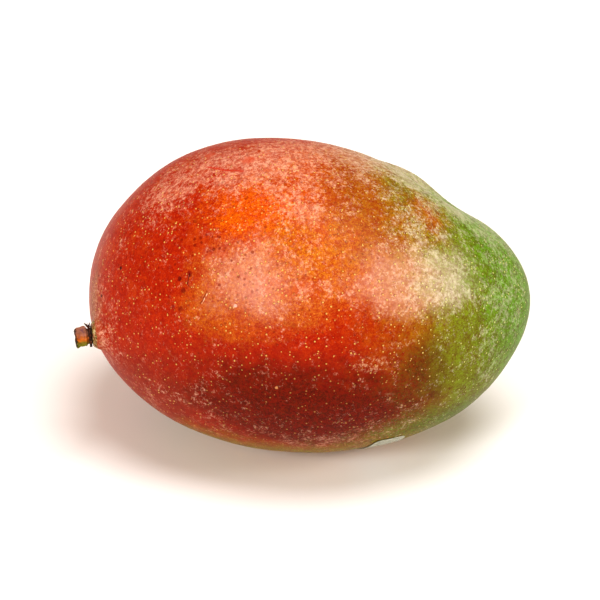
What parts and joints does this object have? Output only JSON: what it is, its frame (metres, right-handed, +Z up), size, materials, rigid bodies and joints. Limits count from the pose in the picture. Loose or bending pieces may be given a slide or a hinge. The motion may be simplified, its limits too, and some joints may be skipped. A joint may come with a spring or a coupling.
{
  "type": "mango",
  "caption": "Whole ripe mango lying on one cheek, red to green skin, with its cut stem stub, dried calyx ring and a small blank label.",
  "frame": {"origin": "middle of the footprint box, on the surface the fruit lies on", "axes": "+X from the stem end to the tip, +Y to the fuller back, +Z up"},
  "size_m": [0.1294, 0.0938, 0.0873],
  "materials": {
    "mango_skin": "waxy fruit skin, red and orange at the stem, green at the tip, with pale dots and bloom",
    "cut_stem": "dull brown to olive bark with a dark dry cut end",
    "dry_calyx": "matt, dried nearly black",
    "label_paper": "blank pale paper, slightly dull"
  },
  "bodies": {
    "root": {"fruit": "mango_skin", "stem": "cut_stem", "dried_calyx": "dry_calyx", "label": "label_paper"}
  },
  "joints": []
}
